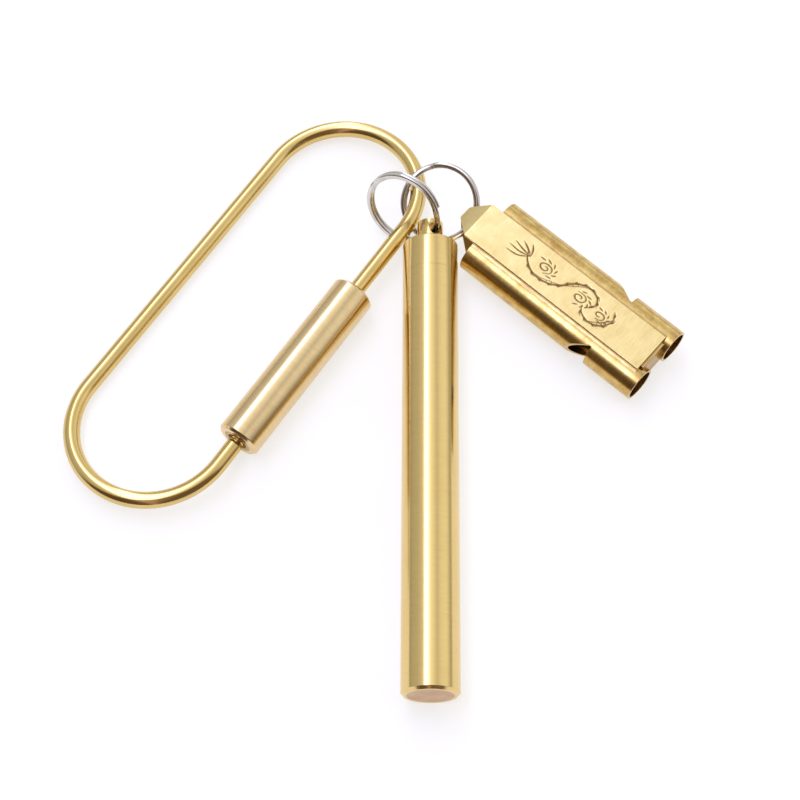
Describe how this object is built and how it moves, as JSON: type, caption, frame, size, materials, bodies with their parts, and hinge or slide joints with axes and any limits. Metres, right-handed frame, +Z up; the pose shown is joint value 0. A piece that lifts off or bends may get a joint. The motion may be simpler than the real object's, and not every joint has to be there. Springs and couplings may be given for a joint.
{
  "type": "dog training whistle set",
  "caption": "Twin-barrel brass dog whistle and screw-cap capsule on split rings, carried on a wire loop that a screw sleeve locks.",
  "frame": {"origin": "centre of the capsule's flat base face", "axes": "+Y along the capsule from its base to its cap, +Z up, square to the surface that the set lies on, +X from the wire loop's side to the whistle's side"},
  "size_m": [0.1101, 0.1122, 0.0145],
  "materials": {
    "capsule_brass": "satin turned",
    "base_brass": "matte",
    "sleeve_brass": "fine turned",
    "wire_brass": "polished, drawn",
    "barrel_brass": "polished, stained",
    "strap_brass": "brushed, engraved",
    "inner_brass": "machined",
    "solder": "dull",
    "nickel": "bright plated",
    "seal_rubber": "matte"
  },
  "bodies": {
    "carry_loop": {"carry_loop_wire": "wire_brass"},
    "thrust_collar": {"thrust_collar": "inner_brass"},
    "lock_sleeve": {"lock_sleeve": "sleeve_brass", "sleeve_thread_bush": "inner_brass"},
    "capsule_ring": {"capsule_split_ring": "nickel"},
    "cap": {"capsule_cap": "capsule_brass"},
    "cap_seal": {"cap_seal_ring": "seal_rubber"},
    "capsule": {"capsule_tube": "capsule_brass", "capsule_base_plug": "base_brass"},
    "whistle_ring": {"whistle_split_ring": "nickel"},
    "whistle": {"left_barrel": "barrel_brass", "right_barrel": "barrel_brass", "left_windway_block": "inner_brass", "right_windway_block": "inner_brass", "left_end_plug": "inner_brass", "right_end_plug": "inner_brass", "barrel_spacer": "inner_brass", "folded_strap": "strap_brass", "left_solder_seams": "solder", "right_solder_seams": "solder"}
  },
  "joints": [
    {"name": "sleeve_turn", "type": "hinge", "parent": "carry_loop", "child": "thrust_collar", "pos_m": [-0.02079, 0.06449, -0.00098], "axis": [0.5635, 0.8261, 0], "range_deg": [0, 7600]},
    {"name": "sleeve_travel", "type": "slide", "parent": "thrust_collar", "child": "lock_sleeve", "axis": [0.5635, 0.8261, 0], "range_m": [0, 0.00951]},
    {"name": "capsule_ring_swing", "type": "hinge", "parent": "carry_loop", "child": "capsule_ring", "pos_m": [-0.00439, 0.08856, -0.00098], "axis": [0.5635, 0.8261, 0], "range_deg": [-165, 5]},
    {"name": "cap_round_ring", "type": "hinge", "parent": "capsule_ring", "child": "cap", "pos_m": [-0.00486, 0.09045, 0.00239], "axis": [-0.5335, -0.7742, 0.3406], "range_deg": [-1, 120]},
    {"name": "cap_turn", "type": "hinge", "parent": "cap", "child": "cap_seal", "pos_m": [0, 0.074, 0], "axis": [0, -1, 0], "range_deg": [0, 3600]},
    {"name": "cap_travel", "type": "slide", "parent": "cap_seal", "child": "capsule", "axis": [0, -1, 0], "range_m": [0, 0.00751]},
    {"name": "whistle_ring_swing", "type": "hinge", "parent": "carry_loop", "child": "whistle_ring", "pos_m": [-0.00234, 0.0942, -0.00111], "axis": [0.1397, 0.9895, -0.0383], "range_deg": [-13, 20]},
    {"name": "whistle_round_ring", "type": "hinge", "parent": "whistle_ring", "child": "whistle", "pos_m": [0.00183, 0.09327, -0.00047], "axis": [-0.2349, -0.465, 0.8536], "range_deg": [-1, 130]}
  ],
  "couplings": [
    {"joint": "sleeve_travel", "follows": "sleeve_turn", "m_per_rad": 0.00007162},
    {"joint": "cap_travel", "follows": "cap_turn", "m_per_rad": 0.00011937}
  ]
}
